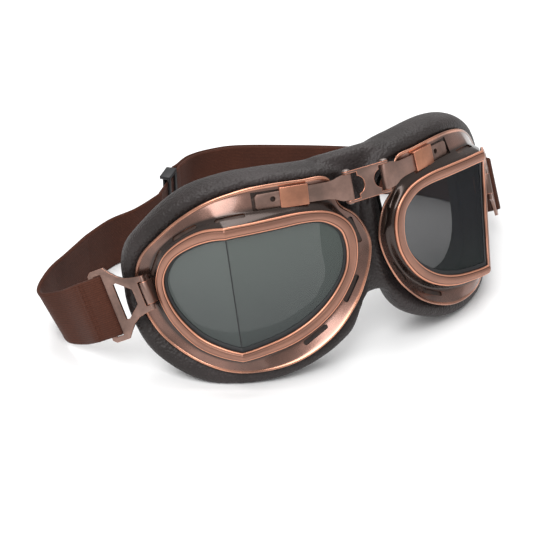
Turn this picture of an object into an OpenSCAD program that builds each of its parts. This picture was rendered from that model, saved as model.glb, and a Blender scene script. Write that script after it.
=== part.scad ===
// Goggles with folded two-pane lenses, a hinged bridge, a padded face cushion and an elastic strap.
// Millimetres. The goggles stand on a floor at z = 0, leaning back, +X to the wearer's left,
// +Y towards the wearer, +Z up. The left half is modelled and the right half is its mirror.

/* [Stance] */
// Height of the tops of the bridge pins above the floor
pin_height = 86.2; // [82:0.2:90]
// Lean of the bridge pins from the vertical, in degrees
lean = 22.2; // [18:0.2:26]
// Distance from the bridge pins forward to the middle of the whole length
depth_centre = 66.9; // [60:0.5:72]

/* [Lens and cup] */
// Distance of the lens fold from the middle plane
crease_x = 67.5; // [65:0.5:72]
// Setback of the lens fold behind the bridge pins
crease_y = 9.6; // [8:0.2:12]
// Depth of the lens fold's middle below the pin tops
crease_drop = 39.5; // [38:0.5:42]
// Turn of the front pane towards the temple, in degrees
cup_turn = 8.6; // [6:0.2:11]
// Forward tip of the lens, measured from the pins, in degrees
cup_tip = 8.5; // [6:0.5:11]
// Fold between the front and the side pane, in degrees
fold_angle = 42; // [36:1:46]
// Thickness of the stamped sheet of the cup
sheet = 0.8; // [0.6:0.1:1.2]
// Share of the way from bezel to rim at which the wall meets the flange
foot_share = 0.3; // [0.25:0.05:0.4]
// Depth of the flange where it passes the nose
rim_base = 3; // [2.5:0.5:4]
// Extra depth of the flange at the fold
rim_rise = 8.6; // [7:0.2:10]
// Slope of the flange plane from top to bottom
rim_slope = 0.075; // [0.05:0.005:0.1]
// Radius of the bead on the rim
bead_r = 0.8; // [0.6:0.1:1]
// Length of a vent slot
slot_length = 13; // [10:0.5:15]
// Width of a vent slot
slot_width = 2.2; // [1.6:0.1:2.6]

/* [Glazing] */
// Thickness of the lens glass
glass = 2; // [1.6:0.1:2.6]
// Height of the bezel ring in front of the cup
bezel_height = 2; // [1.6:0.1:2.6]
// Width of the gasket that shows inside the bezel
gasket_show = 0.8; // [0.5:0.1:1.2]
// Thickness of a gasket lip
gasket_lip = 0.5; // [0.4:0.05:0.8]

/* [Bridge] */
// Distance between the two bridge pins
pin_spacing = 19.2; // [18:0.2:22]
// Length of a bridge pin
pin_length = 13.5; // [13:0.5:15]
// Radius of a bridge pin
pin_r = 0.9; // [0.8:0.05:1]
// Radial clearance of the arm's knuckle on the pin
pin_gap = 0.05; // [0.03:0.01:0.08]
// Outer radius of the rolled knuckles
knuckle_r = 1.9; // [1.8:0.1:2.2]
// Height of one link knuckle
link_knuckle = 1.1; // [1:0.1:1.3]
// Radius of the round cut-outs in the link
cutout_r = 4; // [3.6:0.1:4.2]
// Thickness of the bridge sheet
bridge_sheet = 1; // [0.8:0.1:1.2]
// Height of a bridge arm
arm_height = 7.2; // [6.5:0.1:7.6]
// Length of a bridge arm from its pin
arm_length = 41; // [40:0.5:44]
// Turn of a bridge arm towards the temple, in degrees
arm_turn = 15; // [13:0.5:17]
// Rise of a bridge arm towards the temple, in degrees
arm_rise = 4.9; // [3:0.1:6]
// Distance of the arm's end hole from the pin
arm_hole_at = 33.4; // [33:0.2:35.4]
// Radius of the arm's end hole
arm_hole_r = 1.15; // [0.9:0.05:1.4]
// Distance of the sleeve from the pin
sleeve_at = 18.2; // [17:0.2:21]
// Length of a sleeve
sleeve_length = 12.2; // [11:0.2:13]
// Sliding clearance round the arm
arm_gap = 0.15; // [0.1:0.05:0.25]

/* [Cushion] */
// How far the cushion bulges past the rim
cushion_bulge = 4; // [3:0.5:5.5]
// Depth of the cushion behind the rim
cushion_depth = 20; // [17:1:23]
// Width of the padding from the rim inwards
cushion_width = 9; // [7:0.5:11]
// Clearance between the cushion and the metal
cushion_gap = 0.3; // [0.3:0.05:0.5]

/* [Buckle and lug] */
// Thickness of the buckle plate
buckle_sheet = 1.3; // [1:0.1:1.6]
// Length of the buckle from hinge to end
buckle_length = 24; // [23.5:0.5:26]
// Half the width of the buckle at the strap
buckle_half = 16.2; // [16:0.1:17]
// Half the width of the buckle at the hinge
hinge_half = 7.6; // [7:0.1:8.2]
// Radius of the buckle's hinge bar
bar_r = 0.95; // [0.8:0.05:1]
// Clearance of the hinge bar in the lug's curl
curl_gap = 0.06; // [0.04:0.01:0.1]
// Thickness of the lug strip
lug_sheet = 0.8; // [0.6:0.1:1]
// Width of the lug strip along the hinge
lug_width = 9.8; // [9:0.2:10.4]

/* [Strap] */
// Width of the elastic strap
strap_width = 27; // [26:0.5:28]
// Thickness of the elastic strap
strap_thick = 1.6; // [1.2:0.1:2]
// Clearance between strap pieces and between its two layers
strap_gap = 0.3; // [0.25:0.05:0.4]
// Length of a slider along the strap
slider_length = 11; // [10:0.5:14]
// Thickness of the slider's bars
slider_bar = 1.3; // [1.2:0.1:1.8]

/* [Hidden] */
$fn = 48;
side_names = ["left", "right"];

copper = "#b06a4c";
bright_copper = "#c8805c";
leather = "#3c3430";
webbing = "#5a2e24";

// Outlines of a cup in its own frame, counter-clockwise from the top of the fold.
// Each is [s, h]: s outwards from the fold and h up from its middle. The bezel and glass
// outlines are laid flat, and the rim outline is as seen from the front pane.
bezel_points = [[0, 30], [-11, 29.5], [-23, 29.2], [-35, 28.7], [-46.5, 26.3], [-54, 21],
    [-57.4, 14.5], [-58, 7], [-56.3, -1.4], [-51.7, -9.8], [-45, -17.4], [-35.5, -23.8],
    [-24, -28], [-12, -29.5], [0, -29.7], [12, -27.6], [22, -22.6], [30.5, -13],
    [34.8, -2], [35, 7], [30.5, 16.7], [22, 23.8], [11, 28.8]];
glass_points = [[0, 25.1], [-11, 24.7], [-23, 24.2], [-35, 23.9], [-43.5, 22.3], [-50.2, 17.4],
    [-52.3, 12.2], [-52.7, 6], [-51.2, -1], [-47, -7.8], [-40.5, -14.4], [-32, -19.8],
    [-22, -23.4], [-11, -25.2], [0, -25.7], [10.2, -23.2], [19, -18.6], [27, -9.6],
    [31, 0], [30.8, 8.3], [25.5, 16.2], [17.5, 21], [8.6, 24]];
rim_points = [[1, 37.5], [-12, 40.5], [-24, 41], [-38, 40.1], [-49.6, 38.5], [-52.8, 27],
    [-60, 20.2], [-64.6, 10.5], [-64.4, 2.2], [-60.7, -8], [-54.5, -18], [-43.5, -28.5],
    [-29, -35.6], [-15, -38.2], [0, -37.6], [11, -33.3], [20, -26.3], [26.8, -17.6],
    [31, -5], [31.4, 6], [28.3, 15.8], [21.5, 23.6], [12, 31.6]];
cushion_points = [[1, 37.5], [-12, 40.5], [-24, 41], [-38, 40], [-49, 39], [-59, 36.9],
    [-64.6, 31.5], [-64.9, 18], [-64.9, 4], [-64.9, -9], [-62.3, -17.5], [-56, -22.8], [-48, -27.6],
    [-39, -32.3], [-28, -36.1], [-15, -38.2], [0, -37.6], [11, -33.3], [20, -26.3], [26.8, -17.6],
    [31, -5], [31.4, 6], [28.3, 15.8], [21.5, 23.6], [12, 31.6]];
ring_steps = 4;
reach = 200;
flare_from = -48;
rim_reach = 55;
rim_power = 2.74;
wall_share = 0.6;
least_wall = 3.2;

// Splines
function catmull(a, b, c, d, t) = 0.5 * (2 * b + (c - a) * t + (2 * a - 5 * b + 4 * c - d) * t * t
    + (3 * b - a - 3 * c + d) * t * t * t);
function closed_spline(p, n = ring_steps) = let(m = len(p))
    [for (i = [0 : m - 1], k = [0 : n - 1])
        catmull(p[(i + m - 1) % m], p[i], p[(i + 1) % m], p[(i + 2) % m], k / n)];
function on_spline(p, t) = let(m = len(p), i = min(floor(t), m - 2))
    catmull(p[max(i - 1, 0)], p[i], p[i + 1], p[min(i + 2, m - 1)], t - i);
function unit(v) = v / norm(v);
function blend(a, b, t) = a + (b - a) * t;
function ease(t) = let(c = max(0, min(1, t))) c * c * (3 - 2 * c);

// A ring of [s, h] points moved outwards by d
function grown(p, d) = let(m = len(p)) [for (i = [0 : m - 1])
    let(t = unit(p[(i + 1) % m] - p[(i + m - 1) % m])) p[i] + d * [t[1], -t[0]]];

// A flat [s, h] point folded into the cup frame [outwards, back, up], w behind the lens face
function fold(p, w) = let(m = w * tan(fold_angle / 2), s = max(p[0], m))
    p[0] <= 0 ? [min(p[0], -m), w, p[1]]
    : [s * cos(fold_angle) - w * sin(fold_angle), s * sin(fold_angle) + w * cos(fold_angle), p[1]];

// Depth of the face surface, on which the rim lies
function face_depth(s, h) = rim_base + rim_slope * h
    + rim_rise * pow(max(0, s + rim_reach) / rim_reach, rim_power);

bezel_ring = closed_spline(bezel_points);
glass_ring = closed_spline(glass_points);
rim_ring = closed_spline(rim_points);
cushion_ring = closed_spline(cushion_points);
ring_size = len(bezel_ring);

// A loop on the cup: share 0 at the bezel, foot_share at the foot of the wall and 1 at the rim
function cup_ring(share, inset, behind) = let(
    a = [for (p = grown(bezel_ring, -inset)) fold(p, bezel_height)],
    b = [for (p = grown(rim_ring, -inset)) [p[0], face_depth(p[0], p[1]), p[1]]])
    [for (i = [0 : ring_size - 1]) let(
        full = b[i][1] - a[i][1],
        foot_depth = max(least_wall, wall_share * full),
        depth = share <= foot_share ? foot_depth * sin(90 * share / foot_share)
            : blend(foot_depth, full, (share - foot_share) / (1 - foot_share)))
        [blend(a[i][0], b[i][0], share), a[i][1] + depth + behind, blend(a[i][2], b[i][2], share)]];

// Every other point of a loop, where less detail is enough
function halved(ring) = [for (i = [0 : 2 : len(ring) - 1]) ring[i]];

// A solid ring skinned over closed loops of points, each joined to the next and the last to the first
module skin(rings) {
    n = len(rings[0]);
    m = len(rings);
    polyhedron(
        points = [for (r = rings) each r],
        faces = [for (j = [0 : m - 1], i = [0 : n - 1]) let(
            a = j * n + i, b = j * n + (i + 1) % n,
            c = ((j + 1) % m) * n + (i + 1) % n, d = ((j + 1) % m) * n + i)
            each [[a, b, c], [a, c, d]]]);
}

// A solid tube skinned over open sections and closed with flat ends
module loft(rings) {
    n = len(rings[0]);
    m = len(rings);
    polyhedron(
        points = [for (r = rings) each r],
        faces = [
            for (j = [0 : m - 2], i = [0 : n - 1]) let(
                a = j * n + i, b = j * n + (i + 1) % n, c = (j + 1) * n + (i + 1) % n, d = (j + 1) * n + i)
                each [[a, b, c], [a, c, d]],
            [for (i = [n - 1 : -1 : 0]) i],
            [for (i = [0 : n - 1]) (m - 1) * n + i]]);
}

// Placing
module standing() translate([0, -depth_centre, pin_height]) rotate([-lean, 0, 0]) children();
module on_side(name) mirror([name == "right" ? 1 : 0, 0, 0]) children();
cup_turns = [cup_tip, -0.92, cup_turn];
module cup_place(name) standing() on_side(name)
    translate([crease_x, crease_y, -crease_drop]) rotate(cup_turns) children();
module pin_place(name) standing() on_side(name) translate([pin_spacing / 2, 0, 0]) children();
module arm_place(name) pin_place(name) arm_frame() children();
arm_drop = pin_length / 2;
module arm_frame() translate([0, 0, -arm_drop]) rotate([0, 0, arm_turn])
    translate([0, -knuckle_r, 0]) rotate([0, -arm_rise, 0]) children();
// The arm's frame seen from the cup
module arm_from_cup() rotate([-cup_turns[0], 0, 0]) rotate([0, -cup_turns[1], 0]) rotate([0, 0, -cup_turns[2]])
    translate([pin_spacing / 2 - crease_x, -crease_y, crease_drop]) arm_frame() children();

// Flat stock of thickness t, drawn in [s, h], with its front face w behind the lens face
module upright(w, t) translate([0, w + t, 0]) rotate([90, 0, 0]) linear_extrude(t) children();
module before_fold(gap) rotate([0, 0, fold_angle / 2])
    translate([-gap - reach, -reach / 2, -reach / 2]) cube(reach);
module past_fold(gap) rotate([0, 0, fold_angle / 2])
    translate([gap, -reach / 2, -reach / 2]) cube(reach);
module front_leaf(w, t, gap) intersection() {
    upright(w, t) children();
    before_fold(gap);
}
module side_leaf(w, t, gap) intersection() {
    rotate([0, 0, fold_angle]) upright(w, t) children();
    past_fold(gap);
}
module both_leaves(w, t) {
    front_leaf(w, t, -weld) children();
    side_leaf(w, t, -weld) children();
}

// Cup
weld = 0.01;
gasket_cover = 3.1;
glass_bite = 1.4;
pane_front = bezel_height + gasket_lip;

module cup_shell(name) color(copper) cup_place(name) difference() {
    skin([cup_ring(0, 0, 0), cup_ring(foot_share * 0.5, 0, 0), cup_ring(foot_share, 0, 0),
        cup_ring(0.65, 0, 0), cup_ring(0.93, 0, 0), cup_ring(1, -bead_r * 0.3, -bead_r * 0.6),
        cup_ring(1, -bead_r, 0), cup_ring(1, -bead_r * 0.3, sheet),
        cup_ring(0.9, 0, sheet), cup_ring(0.65, 0, sheet),
        cup_ring(foot_share, sheet * 0.8, sheet), cup_ring(foot_share * 0.5, sheet, sheet * 0.4),
        cup_ring(0, sheet, 0)]);
    vent_slots();
    arm_from_cup() sleeve_body(0);
    arm_from_cup() arm_path(window_depth);
    hinge_frame() lug_strip(lug_play);
}

// Slots, as [step round the ring, share]
slot_spots = [[2, 0.18], [25, 0.36], [37, 0.52], [45, 0.5], [79, 0.13], [86, 0.15]];
function slot_across(i, share) = cup_ring(share + 0.04, 0, 0)[i] - cup_ring(share - 0.04, 0, 0)[i];
module vent_slots() for (q = slot_spots) {
    i = q[0];
    ring = cup_ring(q[1], 0, 0);
    along = unit(ring[(i + 2) % ring_size] - ring[(i + ring_size - 2) % ring_size]);
    deep = unit(cross(along, slot_across(i, q[1])));
    across = cross(deep, along);
    multmatrix([for (k = [0 : 2]) [along[k], across[k], deep[k], ring[i][k]]]) {
        cube([slot_length - slot_width, slot_width, 6 * sheet], center = true);
        for (x = [-1, 1]) translate([x * (slot_length - slot_width) / 2, 0, -3 * sheet])
            cylinder(r = slot_width / 2, h = 6 * sheet);
    }
}

module lens_bezel(name) color(bright_copper) cup_place(name) skin([for (q = [[0, 1], [1, 1], [1, 0.55],
    [0.9, 0.1], [0.68, -0.12], [0.32, -0.12], [0.1, 0.12], [0, 0.55]])
    [for (i = [0 : ring_size - 1])
        fold(blend(bezel_ring[i], glass_ring[i], q[0]), q[1] * bezel_height)]]);

module gasket_band(out, in) difference() {
    polygon(grown(glass_ring, out));
    polygon(grown(glass_ring, in));
}
module lens_gasket(name) color("#151414") cup_place(name) difference() {
    both_leaves(bezel_height, glass + 2 * gasket_lip) gasket_band(gasket_cover, -gasket_show);
    both_leaves(pane_front, glass) polygon(grown(glass_ring, glass_bite));
}
module lens_front(name) color("#39413f", 0.5) cup_place(name)
    front_leaf(pane_front, glass, 0.1) polygon(grown(glass_ring, glass_bite));
module lens_side(name) color("#39413f", 0.5) cup_place(name)
    side_leaf(pane_front, glass, 0.1) polygon(grown(glass_ring, glass_bite));

// Bridge
arm_spare = 1.5;
window_depth = 8;
sleeve_wall = 0.6;
sleeve_height = arm_height + 2 * arm_gap + 2 * sleeve_wall;
sleeve_depth = bridge_sheet + 2 * arm_gap + 2 * sleeve_wall;
module sleeve_body(grow) translate([sleeve_at - grow, -arm_gap - sleeve_wall - grow, -sleeve_height / 2 - grow])
    cube([sleeve_length + 2 * grow, sleeve_depth + 2 * grow, sleeve_height + 2 * grow]);
// The room that the arm slides in, and any more in front of it
module arm_path(front = 0) translate([0, -arm_gap - front, -arm_height / 2 - arm_gap])
    cube([arm_length + arm_spare, bridge_sheet + 2 * arm_gap + front, arm_height + 2 * arm_gap]);
module bridge_sleeve(name) color(bright_copper) arm_place(name) difference() {
    sleeve_body(0);
    arm_path();
}

knuckle_height = pin_length - 2 * link_knuckle;
knuckle_gap = 0.1;
arm_neck = 9.5;
module bridge_arm(name) color(copper) {
    pin_place(name) difference() {
        translate([0, 0, knuckle_gap - pin_length + link_knuckle])
            cylinder(r = knuckle_r, h = knuckle_height - 2 * knuckle_gap);
        translate([0, 0, -pin_length]) cylinder(r = pin_r + pin_gap, h = pin_length);
    }
    arm_place(name) difference() {
        translate([0, bridge_sheet, 0]) rotate([90, 0, 0]) linear_extrude(bridge_sheet) arm_outline();
        translate([arm_hole_at, -1, 0]) rotate([-90, 0, 0]) cylinder(r = arm_hole_r, h = bridge_sheet + 2);
        translate([0, knuckle_r, 0]) rotate([0, arm_rise, 0])
            translate([0, 0, -pin_length]) cylinder(r = pin_r + pin_gap, h = 2 * pin_length);
    }
}
arm_corner = 1;
tip_drop = 0.9;
module arm_outline() {
    half = arm_height / 2;
    flare = knuckle_height / 2 - knuckle_gap - 0.15;
    polygon([[0, -flare], [3.2, -flare], [5, -flare + 0.6], [6.6, -half - 0.5], [arm_neck, -half],
        [arm_length - arm_corner, -half], [arm_length, -half + arm_corner],
        [arm_length, half - tip_drop - arm_corner], [arm_length - arm_corner, half - tip_drop],
        [arm_neck, half], [6.6, half + 0.5], [5, flare - 0.6], [3.2, flare], [0, flare]]);
}

module hinge_pin(name) color("#8a6a58") pin_place(name) {
    translate([0, 0, -pin_length]) cylinder(r = pin_r, h = pin_length);
    rotate_extrude() polygon([[0, 0], [1.7, 0], [1.7, 0.3], [1.3, 0.65], [0.7, 0.85], [0, 0.9]]);
    translate([0, 0, -pin_length - 0.6]) cylinder(r = 1.3, h = 0.6);
}

module link_end(name) on_side(name) translate([pin_spacing / 2, 0, 0])
    for (z = [-link_knuckle, -pin_length]) translate([0, 0, z]) difference() {
        union() {
            cylinder(r = knuckle_r, h = link_knuckle);
            translate([-knuckle_r - 2, -knuckle_r, 0]) cube([knuckle_r + 2, bridge_sheet, link_knuckle]);
        }
        translate([0, 0, -1]) cylinder(r = pin_r + 0.01, h = link_knuckle + 2);
    }
module bridge_link() color(bright_copper) standing() {
    difference() {
        translate([-pin_spacing / 2, -knuckle_r, -pin_length])
            cube([pin_spacing, bridge_sheet, pin_length]);
        for (x = [-1, 1]) {
            translate([x * (2.5 + cutout_r), -knuckle_r - 1, -pin_length / 2]) rotate([-90, 0, 0])
                cylinder(r = cutout_r, h = bridge_sheet + 2);
            translate([x * pin_spacing / 2 - cutout_r, -knuckle_r - 1, link_knuckle - pin_length])
                cube([2 * cutout_r, bridge_sheet + 2, knuckle_height]);
            translate([x * pin_spacing / 2, 0, -pin_length - 1])
                cylinder(r = pin_r + 0.01, h = pin_length + 2);
        }
    }
    for (name = side_names) link_end(name);
}

// Cushion. Each profile point is [share of the bulge or inward reach, share of the depth]
cushion_front = sheet + cushion_gap;
cushion_profile = [[0.4, 0], [0.8, 0.05], [0.98, 0.16], [1, 0.4], [0.85, 0.68], [0.4, 0.9], [-0.35, 1],
    [-1, 0.93], [-1.38, 0.7], [-1.34, 0.4], [-1.1, 0.22], [-0.6, 0.12]];
inward = 1.38;
cushion_sag = 3.6;
eye = [-16, 2];
nose_tuck = 0.9;
nose_flare = 0.35;
nose_set = 1.4;
behind_foot = bezel_height + least_wall + sheet + cushion_gap;
temple_share = 0.3;
ride = 0.12;
// The left side of the leather sits higher behind its rim and is less full at the temple
function lift(name) = name == "left" ? 1.8 : 0;
function temple_puff(name) = name == "left" ? 1.5 : 5;
function cushion_loop(name, q, extra = 0) = let(m = len(cushion_ring)) [for (i = [0 : m - 1]) let(
    p = cushion_ring[i],
    t = unit(cushion_ring[(i + 1) % m] - cushion_ring[(i + m - 1) % m]),
    n = [t[1], -t[0]],
    nose = ease((flare_from - p[0]) / 14) * min(1, 1.5 * max(0, -n[0])),
    bulge = (cushion_bulge + cushion_sag * max(0, -n[1]) + temple_puff(name) * max(0, n[0]) * abs(n[1]))
        * (1 - nose_tuck * nose),
    depth = q[1] * cushion_depth * (1 - temple_share * ease(p[0] / 30)),
    out = (q[0] > 0 ? (q[0] * bulge + extra) * n : q[0] * cushion_width / inward * unit(p - eye))
        - nose_flare * nose * depth * unit(p - eye),
    back = cushion_front + depth + (q[1] < 0.04 ? -extra : q[1] > 0.95 ? extra : 0))
    [p[0] + out[0], max(face_depth(p[0], p[1]) + back + nose_set * nose * (1 - q[1]), q[0] > 0 ? 0 : behind_foot),
        p[1] + out[1] + (ride * depth + lift(name) * ease(0.7 + p[1] / 50) * min(1, 4 * q[1])) * (1 - nose)]];
module face_cushion(name) color(leather) difference() {
    cup_place(name) skin([for (q = cushion_profile) cushion_loop(name, q)]);
    translate([-reach, -reach, -reach]) cube([2 * reach, 2 * reach, reach]);
}

lining_profile = [[-1.42, 0.3], [-1.5, 0.55], [-1.42, 0.8], [-1.6, 0.8], [-1.68, 0.55], [-1.6, 0.3]];
module face_lining(name) color("#1d1a18") cup_place(name) 
    skin([for (q = lining_profile) halved(cushion_loop(name, q))]);

// Leather saddle between the two cushions, over the nose, drawn in [back, up] from the pin tops
saddle_half = 9;
saddle_front_half = 6;
saddle_first = 12;
saddle_last = 50;
saddle_points = [[7, 6], [9.1, 7.7], [17.9, 7.2], [20, 5], [20, -49], [13, -57.5], [10.5, -57], [8.3, -51]];
module nose_leather() color(leather) difference() {
    standing() translate([-saddle_half, 0, 0]) rotate([90, 0, 90]) linear_extrude(2 * saddle_half)
        polygon(saddle_points);
    for (x = [-1, 1]) standing() translate([x * (saddle_front_half + reach / 2), 11 - reach / 2, 0])
        cube(reach, center = true);
    for (name = side_names) {
        loops = [for (q = cushion_profile) cushion_loop(name, q, cushion_gap + 0.1)];
        cup_place(name) loft([for (i = [saddle_last : -1 : saddle_first]) [for (loop = loops) loop[i]]]);
    }
}

// Buckle and lug, in the hinge's frame: X towards the strap and Z along the hinge
hinge_at = [29.6, 25.4, 2];
hinge_turn = [-10, 17.7, 37.3];
module hinge_frame() translate(hinge_at) rotate(hinge_turn) children();
module hinge_place(name) cup_place(name) hinge_frame() children();

curl_r = bar_r + curl_gap;
lug_play = 0.02;
lug_reach = 6.5;
module lug_strip(grow) translate([-curl_r - lug_sheet - grow, 0, -lug_width / 2 - grow])
    cube([lug_sheet + 2 * grow, lug_reach, lug_width + 2 * grow]);
module strap_lug(name) color(bright_copper) hinge_place(name) {
    difference() {
        translate([0, 0, -lug_width / 2]) cylinder(r = curl_r + lug_sheet, h = lug_width);
        translate([0, 0, -lug_width]) cylinder(r = curl_r, h = 2 * lug_width);
    }
    lug_strip(0);
}

slot_end = 2.4;
window_near = 6;
window_far = 14;
strap_slot_near = 17.8;
end_bar = 2.4;
strap_slot_far = buckle_length - end_bar;
module buckle_outline() difference() {
    polygon([[0, -hinge_half], [4, -hinge_half - 0.5], [7.8, -hinge_half - 1.3], [10.9, -hinge_half - 3.2],
        [13.5, -hinge_half - 5.8], [15.9, -buckle_half], [22.4, -buckle_half], [buckle_length, -buckle_half + 1.4],
        [buckle_length, buckle_half - 1.4], [22.4, buckle_half], [15.9, buckle_half],
        [13.5, hinge_half + 5.8], [10.9, hinge_half + 3.2], [7.8, hinge_half + 1.3], [4, hinge_half + 0.5],
        [0, hinge_half]]);
    translate([-1, -lug_width / 2 - 0.5]) square([slot_end + 1.2, lug_width + 1]);
    polygon([[window_near, -3.3], [12.4, -8.2], [window_far, -8], [window_far, 8], [12.4, 8.2], [window_near, 3.3]]);
    translate([strap_slot_near, -strap_width / 2 - 0.4])
        square([strap_slot_far - strap_slot_near, strap_width + 0.8]);
}
module strap_buckle(name) color(copper) hinge_place(name) {
    rotate([90, 0, 0]) translate([0, 0, -buckle_sheet / 2]) linear_extrude(buckle_sheet) buckle_outline();
    translate([0, 0, -hinge_half]) cylinder(r = bar_r, h = 2 * hinge_half);
}

// Strap loop, in the hinge's frame: the strap runs through the slot and back over the end bar
loop_end = 31.2;
bar_near = strap_slot_far;
loop_near = strap_slot_near + strap_gap;
module strap_end(name) color(webbing) hinge_place(name) translate([0, 0, -strap_width / 2])
    linear_extrude(strap_width) difference() {
        polygon([[loop_near, -1.1], [loop_near + 0.5, -1.9], [loop_near + 1.4, -2.4], [buckle_length + 0.4, -2.4],
            [buckle_length + 2.5, -strap_thick], [loop_end, -strap_thick], [loop_end, strap_thick],
            [buckle_length + 2.5, strap_thick], [buckle_length + 0.4, 2.4], [loop_near + 1.4, 2.4],
            [loop_near + 0.5, 1.9], [loop_near, 1.1]]);
        polygon([[bar_near - 0.15, -0.8], [buckle_length + 0.3, -0.8], [buckle_length + 1.5, 0],
            [buckle_length + 0.3, 0.8], [bar_near - 0.15, 0.8]]);
    }

// Turns about the axes, for following the strap from the buckle to the floor
function turn_x(a, v) = [v[0], v[1] * cos(a) - v[2] * sin(a), v[1] * sin(a) + v[2] * cos(a)];
function turn_y(a, v) = [v[0] * cos(a) + v[2] * sin(a), v[1], v[2] * cos(a) - v[0] * sin(a)];
function turn_z(a, v) = [v[0] * cos(a) - v[1] * sin(a), v[0] * sin(a) + v[1] * cos(a), v[2]];
function turned(r, v) = turn_z(r[2], turn_y(r[1], turn_x(r[0], v)));
function from_hinge(v) = turn_x(-lean, turned(cup_turns, turned(hinge_turn, v)));
function hinge_point(v) = [0, -depth_centre, pin_height]
    + turn_x(-lean, [crease_x, crease_y, -crease_drop] + turned(cup_turns, hinge_at)) + from_hinge(v);

// A strap station is [middle, unit vector across the strap]. Each route point is
// [outwards, behind the pins, height of the lower edge, lean outwards, lean backwards].
function station(q) = let(w = unit([q[3], q[4], 1]))
    [[q[0], q[1] - depth_centre, q[2] + strap_width / 2 * w[2]], w];
side_route = [for (q = [[116.8, 52, 7.3, 0.23, 0.52], [120, 61.5, 3, 0.32, 0.43], [119.6, 68.5, 1.5, 0.3, 0.33],
    [115.9, 76.5, 0.7, 0.15, 0.15], [110.4, 84, 0.2, 0.05, 0.05], [103.4, 91, 0, 0, 0], [88, 101.8, 0, 0, 0]])
    station(q)];
back_route = [for (q = [[88, 101.8, 0], [72, 114, 0], [51, 128.5, 0], [23, 145.5, 0], [8, 149.5, 0.1],
    [-6, 148.2, 0.6]]) station([q[0], q[1], q[2], 0, 0])];
slider_at = [-29.3, 128.5];
slider_turn = 43.8;
function by_slider(x) = station([slider_at[0] + x * cos(slider_turn), slider_at[1] + x * sin(slider_turn),
    slider_play + slider_rail, 0, 0]);
slider_travel = 8;
slider_rail = 1.8;
slider_play = 0.3;
slider_spare = 2.2;
straight = slider_length / 2 + slider_travel;
tail_route = [for (q = [[-56, 112.8, 0.3], [-72, 109.8, 0], [-88, 101.8, 0]]) station([q[0], q[1], q[2], 0, 0])];
strap_start = [hinge_point([loop_end + strap_gap, 0, 0]), from_hinge([0, 0, 1]), from_hinge([1, 0, 0])];
side_stations = concat([strap_start], side_route);
back_stations = concat(back_route, [by_slider(straight + 3), by_slider(straight), by_slider(0),
    by_slider(-straight), by_slider(-straight - 3)], tail_route);
slider_index = len(back_route) + 2;

// Cross-section of a strap layer t stations along a route, off on the outer side by the given amount.
// A first station may carry the direction in which the strap sets out.
function strap_section(route, t, off) = let(
    mids = [for (r = route) r[0]],
    a = on_spline(mids, max(t - 0.05, 0)),
    b = on_spline(mids, min(t + 0.05, len(route) - 1)),
    w = unit(on_spline([for (r = route) r[1]], t)),
    n = unit(cross(t == 0 && len(route[0]) > 2 ? route[0][2] : b - a, w)),
    c = on_spline(mids, t) + off * n,
    u = strap_width / 2 * w,
    v = strap_thick / 2 * n)
    [c - u - v, c - u + v, c + u + v, c + u - v];
module strap_run(route, offs, to) loft([for (k = [0 : ceil(to * 4)])
    let(t = min(k / 4, to)) strap_section(route, t, on_spline(offs, t))]);

layer_pitch = strap_thick + strap_gap;
half_pitch = layer_pitch / 2;
function level(n, off) = [for (i = [1 : n]) off];
side_end = len(side_stations) - 1 - 0.02;
side_layers = level(8, half_pitch);
module strap_side(name) color(webbing) on_side(name) {
    strap_run(side_stations, name == "left" ? side_layers : concat([-strap_thick / 2, 0], level(4, half_pitch), [0, 0]),
        side_end);
    if (name == "left") strap_run(side_stations, -side_layers, side_end);
}

// Slider, in its own frame: X along the strap and -Y towards the head. The strap runs behind the
// two end bars and in front of the middle bar, and the returning layer is sewn round the middle bar.
bar_front = strap_thick / 2 + 0.25;
loop_thick = 0.8;
loop_gap = 0.15;
bar_back = strap_thick / 2 + strap_gap + loop_thick + loop_gap;
middle_half = 1.5;
loop_half = middle_half + loop_gap + loop_thick;
module slider_place() translate(by_slider(0)[0]) rotate([0, 0, slider_turn]) children();
return_off = bar_back + slider_bar / 2;
module strap_back() color(webbing) {
    strap_run(back_stations, concat([-half_pitch], level(13, 0)), len(back_stations) - 1);
    strap_run(back_stations, concat([half_pitch], level(slider_index - 2, layer_pitch), level(7, return_off)),
        slider_index - 0.13);
    slider_place() translate([0, bar_back + slider_bar / 2, -strap_width / 2]) linear_extrude(strap_width)
        difference() {
            square([2 * loop_half, slider_bar + 2 * (loop_gap + loop_thick)], center = true);
            square([2 * (middle_half + loop_gap), slider_bar + 2 * loop_gap], center = true);
        }
}
slider_tall = strap_width + slider_play + slider_spare + 2 * slider_rail;
slider_foot = -strap_width / 2 - slider_play - slider_rail;
module strap_slider() color("#101011") slider_place() translate([0, 0, slider_foot]) {
    for (z = [0, slider_tall - slider_rail])
        translate([-slider_length / 2, -bar_front - slider_bar, z])
            cube([slider_length, bar_front + bar_back + 2 * slider_bar, slider_rail]);
    for (x = [-slider_length / 2, slider_length / 2 - 2])
        translate([x, -bar_front - slider_bar, 0]) cube([2, slider_bar, slider_tall]);
    translate([-middle_half, bar_back, 0]) cube([2 * middle_half, slider_bar, slider_tall]);
}

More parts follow.
